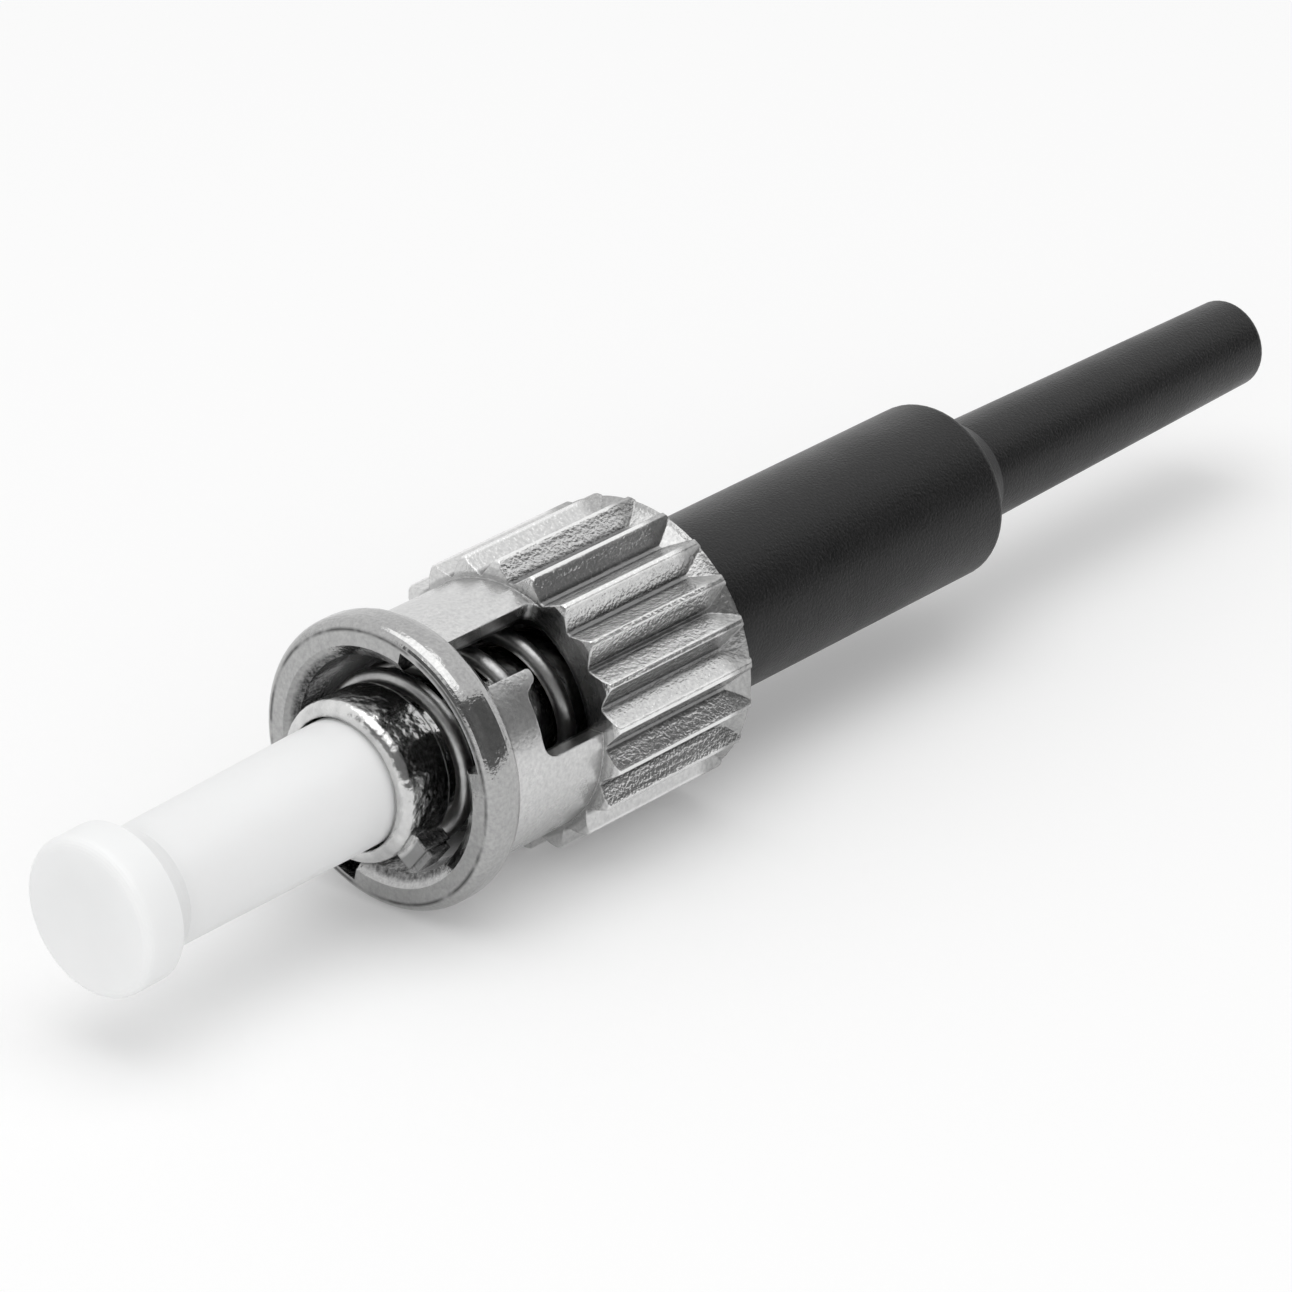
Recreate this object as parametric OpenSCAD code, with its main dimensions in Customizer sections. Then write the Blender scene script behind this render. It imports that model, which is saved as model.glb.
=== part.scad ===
// ST bayonet fibre connector with its dust cap on and its boot fitted.
// All pieces share one axis along X. X = 0 is the polished end of the
// ferrule, the mating end points to -X and the cable leaves to +X.

/* [Ferrule] */
// Diameter of the ceramic ferrule
ferrule_d = 2.5; // [2.4:0.05:2.6]
// How far the ferrule stands out of the barrel's front lip
ferrule_reach = 8.3; // [7:0.1:10]
// Length of ferrule that is pressed into its holder
ferrule_grip = 4; // [2.5:0.1:5]
// Fibre hole through the ferrule
fibre_bore_d = 0.13; // [0.12:0.01:0.2]
// Chamfer on the ferrule's end
ferrule_chamfer = 0.35; // [0.1:0.05:0.5]
// Outside diameter of the ferrule holder
holder_d = 3.4; // [3.2:0.05:3.6]
// Length of the ferrule holder
holder_len = 6.5; // [6:0.1:8]
// Hole in the holder for the coated fibre
buffer_bore_d = 1; // [0.9:0.05:1.1]

/* [Barrel] */
// Diameter of the barrel's front guide
guide_d = 5.3; // [5.1:0.05:5.5]
// Length of the front guide, from its lip to the spring shoulder
guide_len = 2; // [2:0.1:2.8]
// Rounding of the front lip
lip_round = 0.35; // [0.1:0.05:0.4]
// Rounding of the spring shoulder's edge
shoulder_round = 0.18; // [0.05:0.01:0.25]
// Depth of the socket in the front lip that takes the dust cap
socket_depth = 1.6; // [1:0.1:1.8]
// Diameter of the stem that runs through the spring
stem_d = 4.1; // [3.9:0.05:4.2]
// Width of the alignment key
key_w = 1.15; // [0.8:0.05:1.4]
// Height of the key above the guide
key_h = 0.7; // [0.4:0.05:0.8]
// Length of the key
key_len = 1.1; // [0.8:0.1:1.2]
// Distance from the lip to the key
key_setback = 0.6; // [0.4:0.05:0.8]
// Place of the key round the axis, in degrees
key_angle = 219; // [200:1:240]
// Diameter of the crimp post
post_d = 3.2; // [2.8:0.05:3.3]
// Length of the crimp post
post_len = 7.6; // [6:0.1:9]
// Number of grip rings on the crimp post
post_rings = 9; // [4:1:12]
// Depth of the grooves between the grip rings
post_ring_depth = 0.14; // [0.05:0.01:0.2]

/* [Coupling nut] */
// Bore that takes the adapter's sleeve
nut_bore_d = 7.1; // [7:0.05:7.2]
// Outside diameter of the neck with the bayonet slots
neck_d = 8.36; // [8.2:0.02:8.5]
// Length of the neck between the rim and the knurl
neck_len = 3.95; // [3.7:0.05:4.4]
// Largest diameter of the front rim
rim_d = 9.62; // [9.4:0.02:9.8]
// Length of the front rim
rim_len = 1.75; // [1.6:0.05:2]
// Diameter of the flat front face
rim_face_d = 8.9; // [8.8:0.02:9]
// Diameter of the chamfered mouth
mouth_d = 7.9; // [7.6:0.02:8]
// Depth of the chamfered mouth
mouth_depth = 0.32; // [0.2:0.02:0.5]
// Diameter over the knurl's teeth
knurl_d = 9.7; // [9.6:0.05:10.2]
// Length of the knurl
knurl_len = 6.4; // [6:0.1:8]
// Number of teeth
teeth = 21; // [16:1:26]
// Depth of the valleys between the teeth
tooth_depth = 0.56; // [0.3:0.02:0.6]
// Width of the flat on each tooth's tip
tooth_tip_w = 0.14; // [0.08:0.01:0.25]
// Length over which the valleys run out at the back
runout_len = 0.8; // [0.4:0.05:1.5]
// Depth of the valleys that is left at the back face
runout_depth = 0.1; // [0.08:0.02:0.24]
// Thickness of the nut's back wall
back_wall = 2; // [1.4:0.1:2.4]
// Recess in the back face that clears the boot
back_recess_d = 6.6; // [6.4:0.1:7]
// How far the barrel's lip stands out in front of the nut
nut_setback = 1.5; // [1:0.1:1.8]

/* [Bayonet slot] */
// Place of the slot's open side round the axis, in degrees
slot_angle = 108; // [90:1:120]
// Width of the channel that lets the lug in, in degrees
entry_span = 26.5; // [24:0.5:30]
// Whole turn from the open side to the slot's end, in degrees
slot_span = 66.5; // [60:0.5:72]
// Height of the tongue's nose in front of the locked lug
nose_h = 0.6; // [0.3:0.05:0.7]
// Width of the nose, in degrees
nose_span = 7; // [5:0.5:9]
// Axial room for the lug behind the tongue
lug_room = 2.62; // [2.3:0.02:2.8]
// Rounding of the slot's corners
slot_round = 0.38; // [0.15:0.01:0.45]
// Depth of the lug groove inside the rim
groove_d = 8.64; // [8.5:0.02:8.7]
// Extra width of the groove at the rim's mouth, in degrees
groove_flare = 30; // [10:1:34]

/* [Spring and washer] */
// Diameter of the spring's wire
wire_d = 0.6; // [0.4:0.05:0.65]
// Mean diameter of the coils
coil_d = 5.2; // [5.1:0.05:5.4]
// Number of turns, with the closed end turns
turns = 6.4; // [5:0.1:8]
// Angle at which the wire starts at the front
wire_start = 334; // [0:1:359]
// Thickness of the thrust washer
washer_t = 0.25; // [0.15:0.05:0.4]
// Outside diameter of the thrust washer
washer_d = 6.7; // [6.2:0.05:6.9]
// Thickness of the retaining ring
ring_t = 0.5; // [0.3:0.05:0.6]
// Outside diameter of the retaining ring
ring_d = 5.5; // [5.1:0.05:5.8]
// Depth of the groove that holds the ring
ring_groove = 0.3; // [0.2:0.02:0.35]
// Length of the collar behind the ring
collar_len = 0.25; // [0.2:0.05:0.6]
// Opening of the retaining ring, in degrees
ring_gap = 50; // [30:1:90]

/* [Crimp] */
// Wall of the crimp sleeve
sleeve_wall = 0.3; // [0.2:0.02:0.35]
// Length of the crimp sleeve
sleeve_len = 8.2; // [6.5:0.1:9.4]
// Outside diameter of the inner guide tube
tube_d = 1.5; // [1.3:0.05:1.6]
// Bore of the inner guide tube
tube_bore_d = 1; // [0.8:0.05:1.1]
// How far the guide tube stands out behind the crimp post
tube_reach = 0.5; // [0.2:0.1:0.6]

/* [Boot] */
// Diameter of the boot's grip
boot_d = 6.08; // [5.8:0.02:6.3]
// Length of the boot's grip
boot_len = 14.55; // [12:0.05:18]
// Rounding of the grip's back edge
boot_round = 0.32; // [0.1:0.02:0.5]
// Diameter of the tail where it leaves the grip
tail_d = 3.62; // [3.4:0.02:3.8]
// Diameter of the tail at its tip
tail_tip_d = 3.12; // [3:0.02:3.3]
// Length of the tail
tail_len = 16.4; // [12:0.1:20]
// Rounding of the tail's tip
tail_round = 0.22; // [0.05:0.01:0.3]
// Length of the cone at the tail's root
tail_fillet = 1.35; // [0.4:0.05:2]
// Height of the cone at the tail's root
tail_root = 0.68; // [0.2:0.02:0.8]
// Hole for the cable
cable_bore_d = 2.2; // [1.8:0.05:2.3]

/* [Dust cap] */
// Diameter of the cap's tube at the connector
cap_d = 4.18; // [4:0.02:4.2]
// Diameter of the cap's tube at its head
cap_neck_d = 3.98; // [3.9:0.02:4.1]
// Diameter of the cap's head
cap_head_d = 5.16; // [4.8:0.02:5.3]
// Length of the cap's head
cap_head_len = 2.1; // [1.8:0.05:3]
// Rounding of the head's front edge
cap_round = 0.35; // [0.2:0.05:0.7]
// Taper behind the head
cap_taper = 0.65; // [0.3:0.05:0.8]
// Free space in front of the ferrule
cap_air = 1.3; // [0.8:0.1:2]
// Thickness of the cap's closed front
cap_front = 1.35; // [1:0.05:2.5]
// How far the loose cap droops at its head, in degrees
cap_droop = 1.2; // [0:0.1:1.5]

/* [Clearances] */
// Running clearance of the nut and the cap on round parts, per side
run_gap = 0.05; // [0.02:0.01:0.08]
// End play of the nut in front of the retaining ring
end_play = 0.05; // [0.02:0.01:0.1]
// Clearance of loose parts, per side
loose_gap = 0.1; // [0.06:0.01:0.14]

/* [Hidden] */
$fn = 96;
cut = 0.5;                       // how far a cutting shape runs past a face
arc_steps = 6;                   // flats in a rounded edge of a profile

// places along the axis
lip_x = ferrule_reach;
socket_x = lip_x + socket_depth;
shoulder_x = lip_x + guide_len;
nut_x = lip_x + nut_setback;
neck_x = nut_x + rim_len;
knurl_x = neck_x + neck_len;
nut_end_x = knurl_x + knurl_len;
wall_x = nut_end_x - back_wall;
washer_x = wall_x - washer_t;
recess_depth = min(0.4, back_wall / 4);
ring_x = nut_end_x - recess_depth + end_play;
collar_x = ring_x + ring_t;
post_x = collar_x + collar_len;
post_end_x = post_x + post_len;
boot_x = post_x + end_play;
boot_end_x = boot_x + boot_len;
tail_end_x = boot_end_x + tail_len;
holder_end_x = socket_x + holder_len;
ferrule_end_x = socket_x + ferrule_grip;
tube_end_x = post_end_x + tube_reach;
sleeve_end_x = post_x + sleeve_len;
cap_x = -cap_air - cap_front;
cap_end_x = socket_x - loose_gap;
sleeve_d = post_d + 2 * sleeve_wall + 2 * run_gap;
spring_len = washer_x - shoulder_x;
pitch_angle = 360 / teeth;

// points of an arc in a profile, [radius, place along the axis]
function arc(r0, x0, r, from, to) =
    [for (i = [0 : arc_steps])
        let (a = from + (to - from) * i / arc_steps)
        [r0 + r * cos(a), x0 + r * sin(a)]];

// turns a shape built round Z so that its axis is X and 0 degrees is +Y
module axial() { rotate([90, 0, 90]) children(); }

// revolves a profile of [radius, place] points round the axis
module turned(points) { axial() rotate_extrude() polygon(points); }

// a plain tube from x0 to x1
module tube(x0, x1, d_out, d_in) {
    axial() translate([0, 0, x0]) difference() {
        cylinder(h = x1 - x0, d = d_out);
        translate([0, 0, -cut]) cylinder(h = x1 - x0 + 2 * cut, d = d_in);
    }
}

// a stretch of ring between two angles, still standing round Z
module sector(a0, a1, x0, x1, r0, r1) {
    rotate([0, 0, a0]) rotate_extrude(angle = a1 - a0)
        translate([r0, x0]) square([r1 - r0, x1 - x0]);
}

// ---- dust cap ----
module dust_cap() {
    head_r = cap_head_d / 2;
    bore_r = ferrule_d / 2 + run_gap + lip_x * tan(cap_droop);
    color("whitesmoke")
        translate([lip_x, 0, 0]) rotate([0, -cap_droop, 0])
        translate([-lip_x, 0, 0]) difference() {
        turned(concat(
            [[0, cap_x]],
            arc(head_r - cap_round, cap_x + cap_round, cap_round, -90, 0),
            [[head_r, cap_x + cap_head_len - cap_taper],
             [cap_neck_d / 2 + 0.12, cap_x + cap_head_len],
             [cap_neck_d / 2, cap_x + cap_head_len + 0.25],
             [cap_d / 2, lip_x - 1],
             [cap_d / 2, cap_end_x - 0.2],
             [cap_d / 2 - 0.12, cap_end_x],
             [0, cap_end_x]]));
        axial() translate([0, 0, -cap_air])
            cylinder(h = cap_end_x + cap_air + cut, r = bore_r);
    }
}

// ---- ferrule and its holder ----
module ferrule() {
    r = ferrule_d / 2;
    color("white") difference() {
        turned([[0, 0], [r - ferrule_chamfer, 0], [r, 2 * ferrule_chamfer],
                [r, ferrule_end_x], [0, ferrule_end_x]]);
        axial() translate([0, 0, -cut])
            cylinder(h = ferrule_end_x + 2 * cut, d = fibre_bore_d, $fn = 24);
    }
}

module ferrule_holder() {
    color("lightgray") difference() {
        axial() translate([0, 0, socket_x])
            cylinder(h = holder_len, d = holder_d);
        axial() translate([0, 0, socket_x - cut])
            cylinder(h = ferrule_grip + cut, d = ferrule_d);
        axial() translate([0, 0, socket_x])
            cylinder(h = holder_len + cut, d = buffer_bore_d);
    }
}

// ---- barrel with key, ring groove and crimp post ----
module barrel() {
    guide_r = guide_d / 2;
    socket_r = cap_d / 2 + loose_gap;
    post_r = post_d / 2;
    step = post_len / (post_rings + 1);
    color("silver") {
        difference() {
            union() {
                turned(concat(
                    [[0, lip_x]],
                    arc(guide_r - lip_round, lip_x + lip_round, lip_round, -90, 0),
                    arc(guide_r - shoulder_round, shoulder_x - shoulder_round,
                        shoulder_round, 0, 90),
                    [[stem_d / 2, shoulder_x],
                     [stem_d / 2, ring_x], [stem_d / 2 - ring_groove, ring_x],
                     [stem_d / 2 - ring_groove, collar_x], [stem_d / 2, collar_x],
                     [stem_d / 2, post_x], [post_r, post_x],
                     [post_r, post_end_x - 0.2], [post_r - 0.15, post_end_x],
                     [0, post_end_x]]));
                key();
            }
            axial() translate([0, 0, lip_x - cut])
                cylinder(h = socket_depth + cut, r = socket_r);
            axial() translate([0, 0, socket_x - cut])
                cylinder(h = holder_len + cut, d = holder_d);
            axial() translate([0, 0, socket_x])
                cylinder(h = post_end_x - socket_x + cut, d = tube_d);
            for (i = [1 : post_rings])
                tube(post_x + i * step - step / 4, post_x + i * step + step / 4,
                     post_d + 1, post_d - 2 * post_ring_depth);
        }
    }
}

// alignment key, with a small step on its top
module key() {
    guide_r = guide_d / 2;
    axial() rotate([0, 0, key_angle]) {
        translate([guide_r - lip_round, -key_w / 2, lip_x + key_setback])
            cube([key_h + lip_round - 0.2, key_w, key_len]);
        translate([guide_r - lip_round, -key_w * 0.3, lip_x + key_setback + 0.25])
            cube([key_h + lip_round, key_w * 0.8, key_len - 0.25]);
    }
}

// ---- coupling spring, closed and touching at both ends ----
function spring_x(t) =
    let (closed = 0.85, tail = turns - closed,
         low = wire_d * 1.03, room = spring_len - wire_d,
         pitch = (room - 2 * closed * low) / (turns - 2 * closed))
    t < closed ? low * t
    : t > tail ? room - low * (turns - t)
    : closed * low + pitch * (t - closed);

function spring_ring(t, sides) =
    let (a = wire_start + 360 * t,
         x = shoulder_x + wire_d / 2 + spring_x(t))
    [for (k = [0 : sides - 1])
        let (b = 360 * k / sides,
             r = coil_d / 2 + wire_d / 2 * cos(b))
        [x + wire_d / 2 * sin(b), r * cos(a), r * sin(a)]];

module coupling_spring() {
    sides = 8;
    rings = round(turns * 16);
    points = [for (i = [0 : rings])
        for (p = spring_ring(turns * i / rings, sides)) p];
    quads = [for (i = [0 : rings - 1]) for (k = [0 : sides - 1])
        let (n = (k + 1) % sides)
        [i * sides + k, i * sides + n, (i + 1) * sides + n, (i + 1) * sides + k]];
    ends = [[for (k = [sides - 1 : -1 : 0]) k],
            [for (k = [0 : sides - 1]) rings * sides + k]];
    color("darkgray") polyhedron(points, concat(quads, ends));
}

module thrust_washer() {
    color("gainsboro")
        tube(washer_x, wall_x, washer_d, stem_d + 4 * run_gap);
}

// ---- coupling nut ----
// outline of the toothed section
module tooth_outline() {
    tip_r = knurl_d / 2;
    valley_r = tip_r - tooth_depth;
    tip_a = asin(tooth_tip_w / 2 / tip_r);
    polygon([for (i = [0 : teeth - 1])
        let (a = slot_angle + slot_span / 5 + i * pitch_angle)
        for (p = [[-1.9 * tip_a, tip_r - 0.07], [-tip_a, tip_r],
                  [tip_a, tip_r], [1.9 * tip_a, tip_r - 0.07],
                  [pitch_angle / 2 - tip_a, valley_r],
                  [pitch_angle / 2 + tip_a, valley_r]])
            p[1] * [cos(a + p[0]), sin(a + p[0])]]);
}

// straight V teeth with softened ends and valleys that run out at the back
module knurl() {
    tip_r = knurl_d / 2;
    soft = 0.1;
    intersection() {
        axial() translate([0, 0, knurl_x]) linear_extrude(knurl_len)
            tooth_outline();
        turned([[0, knurl_x - cut], [tip_r - 2.2 * soft, knurl_x - cut],
                [tip_r - 2.2 * soft, knurl_x], [tip_r - 0.6 * soft, knurl_x + 0.7 * soft],
                [tip_r + 2 * soft, knurl_x + 3.4 * soft],
                [tip_r + 2 * soft, nut_end_x - 3 * soft],
                [tip_r - 0.8 * soft, nut_end_x], [tip_r - 0.8 * soft, nut_end_x + cut],
                [0, nut_end_x + cut]]);
    }
    low = tooth_depth + 0.1;
    turned(concat(
        [[0, nut_end_x - runout_len - 0.4],
         [tip_r - low, nut_end_x - runout_len - 0.4]],
        [for (t = [0.15 : 0.17 : 0.84])
            [tip_r - low + (low - runout_depth) * pow(t, 1.3),
             nut_end_x - (runout_len + 0.3) * (1 - t)]],
        [[tip_r - runout_depth, nut_end_x - 0.05],
         [tip_r - runout_depth - 0.05, nut_end_x], [0, nut_end_x]]));
}

// rounded front rim that runs into the neck
module rim_and_neck() {
    face_r = rim_face_d / 2;
    rim_r = rim_d / 2;
    nose = rim_r - face_r;
    turned(concat(
        [[0, nut_x]],
        [for (i = [0 : arc_steps])
            let (a = -90 + 90 * i / arc_steps)
            [face_r + nose * cos(a), nut_x + 0.5 + 0.5 * sin(a)]],
        [for (i = [0 : arc_steps])
            let (a = 75 * i / arc_steps)
            [rim_r - 0.45 * (1 - cos(a)), nut_x + 0.85 + 0.68 * sin(a)]],
        [[neck_d / 2 + 0.03, neck_x - 0.06],
         [neck_d / 2, neck_x + 0.03],
         [neck_d / 2, knurl_x + 0.5],
         [0, knurl_x + 0.5]]));
}

// rounded corner of the slot: [angle, x] points about a centre
function slot_arc(a0, x0, r, from, to, steps = 4) =
    let (deg = 360 / (PI * neck_d))
    [for (i = [0 : steps])
        let (b = from + (to - from) * i / steps)
        [a0 + r * deg * cos(b), x0 + r * sin(b)]];

// the slot as a row of stations round the neck: [angle, front x, back x]
function slot_stations() =
    let (deg = 360 / (PI * neck_d), small = 0.12, r = slot_round,
         a0 = slot_angle, a1 = slot_angle + entry_span,
         a2 = a1 + nose_span, a3 = slot_angle + slot_span,
         open_x = neck_x + 0.08, back_x = knurl_x,
         lock_x = knurl_x - lug_room, nose_x = lock_x + nose_h)
    concat(
        // channel, its back corner rounded
        [for (p = slot_arc(a0 + r * deg, back_x - r, r, 180, 90))
            [p[0], open_x, p[1]]],
        [[a1 - 0.4, open_x, back_x]],
        // nose of the tongue
        [for (p = slot_arc(a1 + small * deg, nose_x - small, small, 180, 90, 2))
            [p[0], p[1], back_x]],
        [for (p = slot_arc(a2 - nose_h / 2 * deg, nose_x - nose_h / 2,
                           nose_h / 2, 90, 10)) [p[0], p[1], back_x]],
        // pocket that holds the lug, and its far corner
        [for (p = slot_arc(a2 + r * deg, lock_x + 0.8 * r, 0.8 * r, 205, 270))
            [p[0], p[1], back_x]],
        [for (p = slot_arc(a3 - 1.6 * r * deg, lock_x + 1.6 * r, 1.6 * r, 270, 355))
            [p[0], p[1], back_x]]);

// slot that one lug passes through, its walls pointing at the axis
module lug_slot() {
    st = slot_stations();
    n = len(st);
    in_r = nut_bore_d / 2 - cut;
    out_r = neck_d / 2 + 1;
    // four points a station: front in, front out, back out, back in
    points = [for (s = st) for (q = [[in_r, s[1]], [out_r, s[1]],
                                     [out_r, s[2]], [in_r, s[2]]])
        [q[0] * cos(s[0]), q[0] * sin(s[0]), q[1]]];
    walls = [for (i = [0 : n - 2]) for (k = [0 : 3])
        let (a = 4 * i + k, b = 4 * i + (k + 1) % 4)
        for (f = [[a, b, b + 4], [a, b + 4, a + 4]]) f];
    last = 4 * n - 4;
    ends = [[3, 2, 1], [3, 1, 0],
            [last, last + 1, last + 2], [last, last + 2, last + 3]];
    axial() polyhedron(points, concat(walls, ends));
}

// groove inside the rim that leads one lug to its slot
module lug_groove() {
    in_r = nut_bore_d / 2 - cut;
    axial() sector(slot_angle - 1, slot_angle + entry_span + 1, nut_x - cut,
                   neck_x + 0.12, in_r, groove_d / 2);
}

// the groove's wider mouth
module groove_mouth() {
    in_r = nut_bore_d / 2 - cut;
    axial() sector(slot_angle - 4, slot_angle + entry_span + groove_flare,
                   nut_x - 2 * cut, neck_x - 0.35, in_r - 0.1,
                   groove_d / 2 + 0.02);
}

module coupling_nut() {
    color("silver") difference() {
        union() {
            rim_and_neck();
            knurl();
        }
        // bore and mouth
        turned([[0, nut_x - cut], [mouth_d / 2 + 0.02, nut_x - cut],
                [mouth_d / 2, nut_x], [nut_bore_d / 2, nut_x + mouth_depth],
                [nut_bore_d / 2, wall_x], [0, wall_x]]);
        axial() translate([0, 0, wall_x - cut])
            cylinder(h = back_wall + 2 * cut, d = stem_d + 2 * run_gap);
        axial() translate([0, 0, nut_end_x - recess_depth])
            cylinder(h = recess_depth + cut, d = back_recess_d);
        for (side = [0, 180]) rotate([side, 0, 0]) lug_slot();
        for (side = [0, 180]) rotate([side, 0, 0]) lug_groove();
        for (side = [0, 180]) rotate([side, 0, 0]) groove_mouth();
    }
}

// ---- retaining ring, an open ring in the barrel's groove ----
module retaining_ring() {
    r_in = stem_d / 2 - ring_groove;
    color("gray") axial() {
        sector(90 + ring_gap / 2, 450 - ring_gap / 2, ring_x, collar_x,
               r_in, ring_d / 2);
    }
}

// ---- crimp parts ----
module guide_tube() {
    color("ivory") tube(holder_end_x, tube_end_x, tube_d, tube_bore_d);
}

module crimp_sleeve() {
    color("goldenrod")
        tube(post_x, sleeve_end_x, sleeve_d, sleeve_d - 2 * sleeve_wall);
}

// ---- boot ----
module boot() {
    r = boot_d / 2;
    tail_r = tail_d / 2;
    tip_r = tail_tip_d / 2;
    color("dimgray") difference() {
        turned(concat(
            [[0, boot_x]],
            arc(r - 0.15, boot_x + 0.15, 0.15, -90, 0),
            arc(r - boot_round, boot_end_x - boot_round, boot_round, 0, 90),
            [[tail_r + tail_root, boot_end_x],
             [tail_r + 0.07, boot_end_x + tail_fillet],
             [tail_r, boot_end_x + tail_fillet + 0.05]],
            arc(tip_r - tail_round, tail_end_x - tail_round, tail_round, 0, 90),
            [[0, tail_end_x]]));
        axial() translate([0, 0, boot_x - cut])
            cylinder(h = sleeve_end_x + loose_gap - boot_x + cut,
                     d = sleeve_d + 2 * run_gap);
        axial() translate([0, 0, boot_x - cut])
            cylinder(h = tail_end_x - boot_x + 2 * cut, d = cable_bore_d);
    }
}

dust_cap();
ferrule();
ferrule_holder();
barrel();
coupling_spring();
thrust_washer();
coupling_nut();
retaining_ring();
guide_tube();
crimp_sleeve();
boot();
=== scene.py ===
import math
import bpy
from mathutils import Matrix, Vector


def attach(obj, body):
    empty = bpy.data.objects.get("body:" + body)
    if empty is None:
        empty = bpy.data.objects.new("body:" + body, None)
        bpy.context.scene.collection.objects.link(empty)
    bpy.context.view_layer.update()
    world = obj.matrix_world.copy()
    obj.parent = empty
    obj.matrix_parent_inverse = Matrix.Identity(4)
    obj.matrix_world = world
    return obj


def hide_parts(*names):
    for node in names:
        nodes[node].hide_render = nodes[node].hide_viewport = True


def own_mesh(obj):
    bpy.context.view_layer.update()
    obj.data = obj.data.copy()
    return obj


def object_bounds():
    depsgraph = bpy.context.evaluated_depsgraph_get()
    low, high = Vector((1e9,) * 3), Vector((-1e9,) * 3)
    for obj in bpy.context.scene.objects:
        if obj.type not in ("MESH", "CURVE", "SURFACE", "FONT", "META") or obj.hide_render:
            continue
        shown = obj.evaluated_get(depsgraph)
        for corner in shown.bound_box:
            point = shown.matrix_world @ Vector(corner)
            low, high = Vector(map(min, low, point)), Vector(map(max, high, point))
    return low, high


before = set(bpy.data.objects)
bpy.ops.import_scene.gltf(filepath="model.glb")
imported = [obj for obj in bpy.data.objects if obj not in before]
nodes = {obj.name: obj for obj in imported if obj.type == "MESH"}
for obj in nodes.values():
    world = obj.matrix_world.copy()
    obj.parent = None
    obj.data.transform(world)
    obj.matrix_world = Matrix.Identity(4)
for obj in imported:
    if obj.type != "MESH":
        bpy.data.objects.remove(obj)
cadLow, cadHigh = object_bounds()
mm = 0.001
print("frame loaded")


# selecting and finishing, used by every piece

def clearSelection():
    if bpy.context.object and bpy.context.object.mode != "OBJECT":
        bpy.ops.object.mode_set(mode="OBJECT")
    bpy.ops.object.select_all(action="DESELECT")


def makeActive(piece):
    clearSelection()
    piece.select_set(True)
    bpy.context.view_layer.objects.active = piece


def applyModifiers(piece):
    makeActive(piece)
    for modifier in list(piece.modifiers):
        bpy.ops.object.modifier_apply(modifier=modifier.name)


def settle(piece):                        # place, turn and size go into the mesh
    makeActive(piece)
    bpy.ops.object.transform_apply(location=True, rotation=True, scale=True)


def smoothEdges(piece, angle=35):
    makeActive(piece)
    bpy.ops.object.shade_smooth_by_angle(angle=math.radians(angle))


# nodes for the materials

def newMaterial(name):
    material = bpy.data.materials.new(name)
    material.use_nodes = True
    return material, material.node_tree.nodes, material.node_tree.links


def noise(mat, scale, detail, roughness, stretch=(1, 1, 1)):
    material, tree, links = mat
    coords = tree.new("ShaderNodeTexCoord")
    mapping = tree.new("ShaderNodeMapping")
    mapping.inputs["Scale"].default_value = stretch
    texture = tree.new("ShaderNodeTexNoise")
    texture.inputs["Scale"].default_value = scale
    texture.inputs["Detail"].default_value = detail
    texture.inputs["Roughness"].default_value = roughness
    links.new(coords.outputs["Object"], mapping.inputs["Vector"])
    links.new(mapping.outputs["Vector"], texture.inputs["Vector"])
    return texture.outputs["Fac"]


def spread(mat, value, low, high, fromLow=0.0, fromHigh=1.0):
    material, tree, links = mat
    node = tree.new("ShaderNodeMapRange")
    node.inputs["From Min"].default_value = fromLow
    node.inputs["From Max"].default_value = fromHigh
    node.inputs["To Min"].default_value = low
    node.inputs["To Max"].default_value = high
    links.new(value, node.inputs["Value"])
    return node.outputs["Result"]


def rising(mat, value, start, end):       # 0 before start, 1 past end
    return spread(mat, value, 0, 1, start, end)


def falling(mat, value, start, end):      # 1 before start, 0 past end
    return spread(mat, value, 1, 0, start, end)


def product(mat, first, second):
    material, tree, links = mat
    node = tree.new("ShaderNodeMath")
    node.operation = "MULTIPLY"
    links.new(first, node.inputs[0])
    links.new(second, node.inputs[1])
    return node.outputs[0]


def mixed(mat, share, first, second, kind="FLOAT"):
    material, tree, links = mat
    node = tree.new("ShaderNodeMix")
    node.data_type = kind
    shown = [socket for socket in node.inputs if socket.enabled]
    ends = [socket for socket in shown if socket.name in "AB"]
    for socket, value in zip(ends, (first, second)):
        if isinstance(value, tuple):
            socket.default_value = (*value, 1)
        else:
            links.new(value, socket)
    links.new(share, [socket for socket in shown if socket.name == "Factor"][0])
    return [socket for socket in node.outputs if socket.enabled][0]


def ramp(mat, value, stops):
    material, tree, links = mat
    node = tree.new("ShaderNodeValToRGB")
    while len(node.color_ramp.elements) < len(stops):
        node.color_ramp.elements.new(0.5)
    for element, (place, colour) in zip(node.color_ramp.elements, stops):
        element.position = place
        element.color = (*colour, 1)
    links.new(value, node.inputs["Fac"])
    return node.outputs["Color"]


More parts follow.
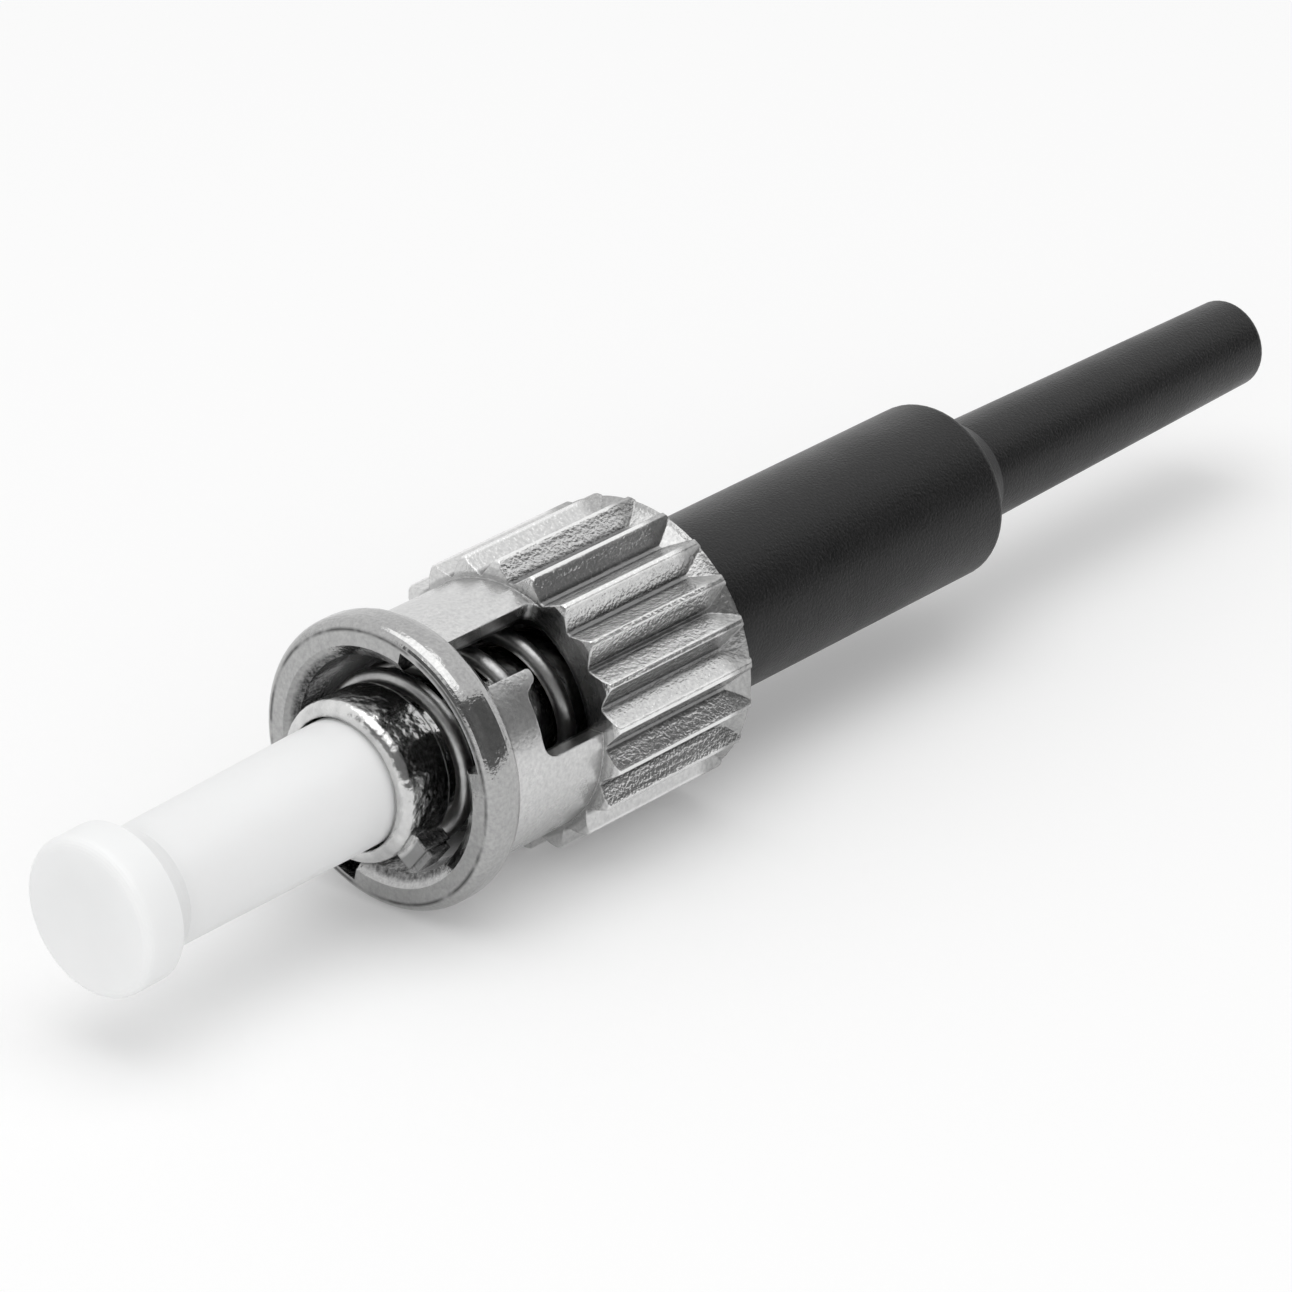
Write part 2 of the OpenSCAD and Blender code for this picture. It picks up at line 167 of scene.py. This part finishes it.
def bumps(mat, layers, edgeRadius=0):     # layers: (height, strength, distance in metres)
    material, tree, links = mat
    normal = None
    if edgeRadius:                        # edges catch the light as worn ones do
        edge = tree.new("ShaderNodeBevel")
        edge.samples = 6
        if isinstance(edgeRadius, float):
            edge.inputs["Radius"].default_value = edgeRadius * mm
        else:
            links.new(edgeRadius, edge.inputs["Radius"])
        normal = edge.outputs["Normal"]
    for height, strength, distance in layers:
        node = tree.new("ShaderNodeBump")
        node.inputs["Strength"].default_value = strength
        node.inputs["Distance"].default_value = distance
        links.new(height, node.inputs["Height"])
        if normal:
            links.new(normal, node.inputs["Normal"])
        normal = node.outputs["Normal"]
    return normal


def placeOn(mat):                         # place along the axis and radius, in millimetres
    material, tree, links = mat
    coords = tree.new("ShaderNodeTexCoord")
    split = tree.new("ShaderNodeSeparateXYZ")
    flat = tree.new("ShaderNodeVectorMath")
    flat.operation = "MULTIPLY"
    flat.inputs[1].default_value = (0, 1000, 1000)
    length = tree.new("ShaderNodeVectorMath")
    length.operation = "LENGTH"
    links.new(coords.outputs["Object"], split.inputs[0])
    links.new(coords.outputs["Object"], flat.inputs[0])
    links.new(flat.outputs[0], length.inputs[0])
    along = spread(mat, split.outputs["X"], 0, 100, 0, 0.1)
    return along, length.outputs["Value"]


def dress(piece, material):
    piece.data.materials.clear()
    piece.data.materials.append(material)


# plain metals
# each noise is (scale, detail, roughness), each depth is in metres

metalSkin = {"patches": (1400, 4, 0.6), "grain": (9000, 2, 0.5), "wave": (1100, 1, 0.5),
             "peel": (3200, 1, 0.5), "waveDepth": 0.0001, "peelDepth": 0.00005,
             "grainDepth": 0.00003}
polishedNickel = {"dark": (0.54, 0.54, 0.54), "light": (0.70, 0.70, 0.695),
                  "rough": (0.14, 0.26), "grain": 0.35, "peel": 0.9, "wave": 0.8,
                  "edgeRadius": 0.12, "key": (0.30, 0.30, 0.30), "keyRadius": (2.74, 2.84)}
plainSteel = {"dark": (0.34, 0.34, 0.34), "light": (0.50, 0.50, 0.495),
              "rough": (0.20, 0.34), "grain": 0.2, "peel": 0.1, "wave": 0.15,
              "edgeRadius": 0.04}
springWire = {"dark": (0.38, 0.38, 0.38), "light": (0.50, 0.50, 0.495),
              "rough": (0.32, 0.44), "grain": 0.2, "peel": 0.12, "wave": 0.1,
              "edgeRadius": 0}
drawnBrass = {"dark": (0.62, 0.48, 0.21), "light": (0.72, 0.58, 0.28),
              "rough": (0.20, 0.34), "grain": 0.15, "peel": 0.1, "wave": 0.12,
              "edgeRadius": 0.05}


def metal(name, look, stretch=(1, 1, 1)):
    mat = newMaterial(name)
    material, tree, links = mat
    shader = tree["Principled BSDF"]
    shader.inputs["Metallic"].default_value = 1.0
    patches = noise(mat, *metalSkin["patches"])
    grain = noise(mat, *metalSkin["grain"], stretch)
    wave = noise(mat, *metalSkin["wave"])
    peel = noise(mat, *metalSkin["peel"])
    skin = ramp(mat, patches, [(0.32, look["dark"]), (0.6, look["light"])])
    if "key" in look:                     # painted shade: the key, which stands out of the round guide, is painted darker
        along, radius = placeOn(mat)
        onKeyShade = rising(mat, radius, *look["keyRadius"])
        skin = mixed(mat, onKeyShade, skin, look["key"], "RGBA")
    links.new(skin, shader.inputs["Base Color"])
    links.new(spread(mat, grain, *look["rough"], 0.3, 0.7), shader.inputs["Roughness"])
    layers = [(wave, look["wave"], metalSkin["waveDepth"]),
              (peel, look["peel"], metalSkin["peelDepth"]),
              (grain, look["grain"], metalSkin["grainDepth"])]
    links.new(bumps(mat, layers, look["edgeRadius"]), shader.inputs["Normal"])
    return material


rimNickel = metal("polishedNickel", polishedNickel)
steel = metal("plainSteel", plainSteel)
wire = metal("springWire", springWire)
brass = metal("crimpBrass", drawnBrass, (0.2, 1, 1))


# coupling nut: one casting with a plain rim, satin knurl and a bore painted dark as shade
# places along the axis and radii are in millimetres, depths in metres

platedNickel = {
    "rimShadeDark": (0.36, 0.36, 0.36), "rimShadeLight": (0.47, 0.47, 0.465),
    "dark": (0.55, 0.55, 0.55), "light": (0.70, 0.70, 0.695),
    "valleyShade": (0.22, 0.22, 0.22), "ridgeHighlight": (0.86, 0.86, 0.855),
    "runoutShadeDark": (0.34, 0.34, 0.34), "runoutShadeLight": (0.48, 0.48, 0.475),
    "bore": (0.14, 0.14, 0.14), "rimShadeLine": (0.05, 0.05, 0.05),
    "mouthShadeDark": (0.05, 0.05, 0.05), "mouthShadeLight": (0.24, 0.24, 0.24),
    "rim": (0.09, 0.17), "neck": (0.24, 0.34), "knurl": (0.15, 0.25),
    "neckFrom": (11.3, 11.7), "knurlFrom": (15.4, 15.6), "runout": (20.7, 21.2),
    "mouthFrom": (9.90, 10.02), "mouthTo": (11.25, 11.3), "edgeFrom": (12.0, 12.4),
    "boreRadius": (3.62, 3.72), "mouthRadius": (4.34, 4.37),
    "rimShadeLineRadius": 4.47, "rimShadeLineWidth": 0.09,
    "valleyShadeRadius": (4.33, 4.42), "ridgeHighlightRadius": (4.77, 4.83), "edgeRadius": (0.028, 0.105),
    "patches": (7500, 3, 0.6), "stain": (420, 3, 0.5), "grain": (9000, 2, 0.5),
    "draw": (3000, 2, 0.5), "wave": (700, 2, 0.5), "lineBreaks": (640, 3, 0.6),
    "uneven": (3400, 1, 0.5), "grainBump": 0.62, "grainDepth": 0.000035, "plainGrain": 0.35,
    "drawBump": 0.4, "drawDepth": 0.00006, "waveBump": 0.2, "waveDepth": 0.00012}


def castNickel(name, look):
    mat = newMaterial(name)
    material, tree, links = mat
    shader = tree["Principled BSDF"]
    shader.inputs["Metallic"].default_value = 1.0
    along, radius = placeOn(mat)
    onKnurl = rising(mat, along, *look["knurlFrom"])
    pastRim = rising(mat, along, *look["neckFrom"])
    onRunout = rising(mat, along, *look["runout"])
    outside = rising(mat, radius, *look["boreRadius"])
    patches = noise(mat, *look["patches"])
    stain = noise(mat, *look["stain"])
    grain = noise(mat, *look["grain"])
    draw = noise(mat, *look["draw"], (0.1, 1, 1))      # marks along the teeth
    wave = noise(mat, *look["wave"])

    def plating(dark, light):
        return ramp(mat, patches, [(0.3, look[dark]), (0.7, look[light])])

    # the teeth: painted shade in the valleys, painted highlight on the tips, and painted
    # shade on the end where the valleys run out
    inValleyShade = product(mat, onKnurl, falling(mat, radius, *look["valleyShadeRadius"]))
    onRidgeHighlight = product(mat, onKnurl, rising(mat, radius, *look["ridgeHighlightRadius"]))
    body = mixed(mat, inValleyShade, plating("dark", "light"), look["valleyShade"], "RGBA")
    body = mixed(mat, onRidgeHighlight, body, look["ridgeHighlight"], "RGBA")
    body = mixed(mat, onRunout, body, plating("runoutShadeDark", "runoutShadeLight"), "RGBA")

    # painted shade: a rim darker than the neck, for the darker surroundings it reflects,
    # and a dark bore, grooves and lead-in behind the rim's face
    skin = mixed(mat, pastRim, plating("rimShadeDark", "rimShadeLight"), body, "RGBA")
    skin = mixed(mat, outside, look["bore"], skin, "RGBA")
    inMouthShade = product(mat, rising(mat, along, *look["mouthFrom"]),
                      falling(mat, along, *look["mouthTo"]))
    inMouthShade = product(mat, inMouthShade, falling(mat, radius, *look["mouthRadius"]))
    mouthShadeSkin = ramp(mat, patches, [(0.35, look["mouthShadeDark"]), (0.65, look["mouthShadeLight"])])
    skin = mixed(mat, inMouthShade, skin, mouthShadeSkin, "RGBA")

    # painted shade: a thin dark line round the rim's face where it turns into the rounding,
    # broken up in places
    rimShadeLine, width = look["rimShadeLineRadius"], look["rimShadeLineWidth"]
    lineBreaks = spread(mat, noise(mat, *look["lineBreaks"]), 0.1, 0.9, 0.4, 0.55)
    onRimShadeLine = product(mat, rising(mat, radius, rimShadeLine - width, rimShadeLine),
                     falling(mat, radius, rimShadeLine, rimShadeLine + width))
    onRimShadeLine = product(mat, product(mat, onRimShadeLine, lineBreaks), spread(mat, pastRim, 1, 0))
    skin = mixed(mat, onRimShadeLine, skin, look["rimShadeLine"], "RGBA")
    links.new(skin, shader.inputs["Base Color"])

    rim, neck, knurl = [spread(mat, stain, *look[zone], 0.3, 0.7)
                        for zone in ("rim", "neck", "knurl")]
    rough = mixed(mat, onKnurl, mixed(mat, pastRim, rim, neck), knurl)
    links.new(mixed(mat, onRunout, rough, neck), shader.inputs["Roughness"])

    castGrain = product(mat, grain, spread(mat, onKnurl, look["plainGrain"], 1.0))
    castDraw = product(mat, draw, onKnurl)
    low, high = [size * mm for size in look["edgeRadius"]]
    uneven = spread(mat, noise(mat, *look["uneven"]), low, high, 0.3, 0.7)
    edge = product(mat, uneven, rising(mat, along, *look["edgeFrom"]))
    layers = [(wave, look["waveBump"], look["waveDepth"]),
              (castDraw, look["drawBump"], look["drawDepth"]),
              (castGrain, look["grainBump"], look["grainDepth"])]
    links.new(bumps(mat, layers, edge), shader.inputs["Normal"])
    return material


nickel = castNickel("platedNickel", platedNickel)
print("metals made")


# plastics, rubber and ceramic

frostedCap = {"dark": (0.885, 0.89, 0.89), "light": (0.92, 0.925, 0.925),
              "rough": (0.34, 0.46), "through": 0.6}
guideTube = {**frostedCap, "through": 0.1}
whiteCeramic = {"dark": (0.84, 0.84, 0.80), "light": (0.90, 0.90, 0.87),
                "rough": (0.08, 0.16), "through": 0.1}
plasticSkin = {"cloud": (260, 3, 0.5), "grain": (3500, 3, 0.6), "bump": 0.12,
               "cloudDepth": 0.0001, "grainDepth": 0.00003, "glow": 0.0008, "ior": 1.49}
bootRubber = {"dark": (0.002, 0.002, 0.0021), "light": (0.010, 0.010, 0.0104),
              "rough": (0.30, 0.40), "cloud": (500, 3, 0.6), "grain": (11000, 2, 0.6),
              "cloudBump": 0.1, "cloudDepth": 0.0001, "grainBump": 0.7,
              "grainDepth": 0.00003, "edgeRadius": 0.12, "ior": 1.40, "shine": 0.42}


def frosted(name, look, skin):
    mat = newMaterial(name)
    material, tree, links = mat
    shader = tree["Principled BSDF"]
    cloud = noise(mat, *skin["cloud"], (0.4, 1, 1))
    grain = noise(mat, *skin["grain"])
    links.new(ramp(mat, cloud, [(0.35, look["dark"]), (0.65, look["light"])]),
              shader.inputs["Base Color"])
    links.new(spread(mat, grain, *look["rough"], 0.3, 0.7), shader.inputs["Roughness"])
    links.new(bumps(mat, [(cloud, skin["bump"], skin["cloudDepth"]),
                          (grain, skin["bump"], skin["grainDepth"])]),
              shader.inputs["Normal"])
    shader.inputs["Subsurface Weight"].default_value = look["through"]
    shader.inputs["Subsurface Radius"].default_value = (1, 1, 1)
    shader.inputs["Subsurface Scale"].default_value = skin["glow"]
    shader.inputs["IOR"].default_value = skin["ior"]
    return material


def rubber(name, look):
    mat = newMaterial(name)
    material, tree, links = mat
    shader = tree["Principled BSDF"]
    cloud = noise(mat, *look["cloud"])
    grain = noise(mat, *look["grain"])
    links.new(ramp(mat, grain, [(0.3, look["dark"]), (0.7, look["light"])]),
              shader.inputs["Base Color"])
    links.new(spread(mat, cloud, *look["rough"], 0.3, 0.7), shader.inputs["Roughness"])
    links.new(bumps(mat, [(cloud, look["cloudBump"], look["cloudDepth"]),
                          (grain, look["grainBump"], look["grainDepth"])],
                    look["edgeRadius"]), shader.inputs["Normal"])
    shader.inputs["IOR"].default_value = look["ior"]
    shader.inputs["Specular IOR Level"].default_value = look["shine"]
    return material


capPlastic = frosted("frostedPlastic", frostedCap, plasticSkin)
tubePlastic = frosted("guideTubePlastic", guideTube, plasticSkin)
ceramic = frosted("ferruleCeramic", whiteCeramic, plasticSkin)
bootBlack = rubber("bootRubber", bootRubber)
print("plastics made")


# coupling spring

coil = {"wire": 0.6, "middle": 5.2, "turns": 6.4, "start": 334, "from": 10.3, "room": 9.35,
        "closed": 0.85, "sides": 20, "stepsPerTurn": 48, "pushed": 2.0}


def wirePlace(turn):                      # closed end turns, open turns between them
    low = coil["wire"] * 1.03
    room = coil["room"] - coil["wire"]
    openTurns = coil["turns"] - 2 * coil["closed"]
    pitch = (room - 2 * coil["closed"] * low) / openTurns
    if turn < coil["closed"]:
        return low * turn
    if turn > coil["turns"] - coil["closed"]:
        return room - low * (coil["turns"] - turn)
    return coil["closed"] * low + pitch * (turn - coil["closed"])


clearSelection()
bpy.ops.mesh.primitive_circle_add(vertices=coil["sides"], radius=coil["wire"] / 2 * mm,
                                  location=(0, coil["middle"] / 2 * mm, 0))
spring = bpy.context.object
spring.name = "springCoil"
settle(spring)
wind = spring.modifiers.new("wind", "SCREW")
wind.axis = "X"
wind.angle = math.radians(360 * coil["turns"])
wind.screw_offset = 0
wind.steps = wind.render_steps = round(coil["turns"] * coil["stepsPerTurn"])
wind.use_smooth_shade = True
applyModifiers(spring)
rings = len(spring.data.vertices) // coil["sides"]
turning = spring.data.vertices[coil["sides"] * 6].co     # tells which way it was wound
way = 1 if turning.z > 0 else -1
for i, vertex in enumerate(spring.data.vertices):
    turn = (i // coil["sides"]) / (rings - 1) * coil["turns"]
    vertex.co.x += (coil["from"] + coil["wire"] / 2 + wirePlace(turn)) * mm
    vertex.co.z *= way
spring.rotation_euler.x = math.radians(coil["start"])
settle(spring)
bpy.ops.object.mode_set(mode="EDIT")
bpy.ops.mesh.select_all(action="SELECT")
bpy.ops.mesh.fill_holes(sides=0)          # the two cut ends
bpy.ops.mesh.normals_make_consistent(inside=False)
bpy.ops.object.mode_set(mode="OBJECT")
smoothEdges(spring)
dress(spring, wire)
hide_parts("coupling_spring")
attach(spring, "barrel")
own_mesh(spring)
print("spring wound")


# the nodes that keep their shape

finishes = {"dust_cap": capPlastic, "ferrule": ceramic, "ferrule_holder": rimNickel,
            "barrel": rimNickel, "thrust_washer": steel, "coupling_nut": nickel,
            "retaining_ring": steel, "guide_tube": tubePlastic, "crimp_sleeve": brass,
            "boot": bootBlack}
for name, material in finishes.items():
    dress(nodes[name], material)


# floor and cards

studio = {"floorDrop": 0.00002, "floorMiddle": 0.02, "floorSize": (3, 3),
          "floorColour": (0.86, 0.86, 0.86), "floorRough": 0.9, "floorGlow": 0.145,
          "ambient": 0.64, "card": (0.22, 0.22, 0.22), "cardRough": 1.0}
cards = {"sideCard": ((0.12, -0.34, 0.21), (90, 0, 0), (1.1, 0.41)),
         "frontCard": ((-0.40, -0.10, 0.23), (90, 0, 90), (0.6, 0.34))}


def whiteForView(mat):                    # 1 for what the camera and the metal see
    material, tree, links = mat
    path = tree.new("ShaderNodeLightPath")
    seen = path.outputs["Is Camera Ray"]
    for ray in ("Is Glossy Ray", "Is Transmission Ray"):
        either = tree.new("ShaderNodeMath")
        either.operation = "MAXIMUM"
        links.new(seen, either.inputs[0])
        links.new(path.outputs[ray], either.inputs[1])
        seen = either.outputs[0]
    return seen


def matt(name, colour, roughness):
    mat = newMaterial(name)
    material, tree, links = mat
    shader = tree["Principled BSDF"]
    shader.inputs["Base Color"].default_value = (*colour, 1)
    shader.inputs["Roughness"].default_value = roughness
    shader.inputs["Specular IOR Level"].default_value = 0.0
    return mat


def plane(name, place, turn, size):
    clearSelection()
    bpy.ops.mesh.primitive_plane_add(size=1, location=place,
                                     rotation=[math.radians(a) for a in turn])
    card = bpy.context.object
    card.name = name
    card.scale = (*size, 1)
    settle(card)
    return card


floor = plane("floor", (studio["floorMiddle"], 0, cadLow.z - studio["floorDrop"]),
              (0, 0, 0), studio["floorSize"])
mat = matt("paleFloor", studio["floorColour"], studio["floorRough"])
material, tree, links = mat
shader = tree["Principled BSDF"]
shader.inputs["Emission Color"].default_value = (1, 1, 1, 1)
links.new(spread(mat, whiteForView(mat), 0.0, studio["floorGlow"]),
          shader.inputs["Emission Strength"])
dress(floor, material)

darkCard = matt("darkCard", studio["card"], studio["cardRough"])[0]
for name, (place, turn, size) in cards.items():          # only the metal sees them
    card = plane(name, place, turn, size)
    card.visible_camera = card.visible_diffuse = card.visible_shadow = False
    dress(card, darkCard)


# world, lamps and camera

world = bpy.data.worlds.new("studio")
bpy.context.scene.world = world
world.use_nodes = True
mat = (world, world.node_tree.nodes, world.node_tree.links)
background = world.node_tree.nodes["Background"]
background.inputs["Color"].default_value = (1, 1, 1, 1)
world.node_tree.links.new(spread(mat, whiteForView(mat), studio["ambient"], 1.0),
                          background.inputs["Strength"])


lamps = {"topLamp": {"place": (0.0, -0.02, 0.40), "target": (0.02, 0, 0),
                     "size": (0.40, 0.42), "power": 0.64, "inMetal": True},
         "frontFill": {"place": (-0.36, -0.22, 0.14), "target": (0, 0, 0),
                       "size": (0.30, 0.20), "power": 0.29, "inMetal": False}}


def lamp(name, look):
    data = bpy.data.lights.new(name, "AREA")
    data.shape = "RECTANGLE"
    data.size, data.size_y = look["size"]
    data.energy = look["power"]
    light = bpy.data.objects.new(name, data)
    bpy.context.scene.collection.objects.link(light)
    light.location = look["place"]
    aim = Vector(look["target"]) - Vector(look["place"])
    light.rotation_euler = aim.to_track_quat("-Z", "Y").to_euler()
    light.visible_glossy = look["inMetal"]


for name, look in lamps.items():
    lamp(name, look)

view = {"place": (-0.12183, -0.12512, 0.09206), "turn": (64.14, 0, -49.04),
        "lens": 186.05, "sensor": 36, "clipStart": 0.01}
camera = bpy.data.objects.new("camera", bpy.data.cameras.new("camera"))
bpy.context.scene.collection.objects.link(camera)
camera.location = view["place"]
camera.rotation_euler = [math.radians(a) for a in view["turn"]]
camera.data.lens = view["lens"]
camera.data.sensor_width = view["sensor"]
camera.data.clip_start = view["clipStart"]
bpy.context.scene.camera = camera

bpy.context.scene.view_settings.view_transform = "Standard"
print("studio set")
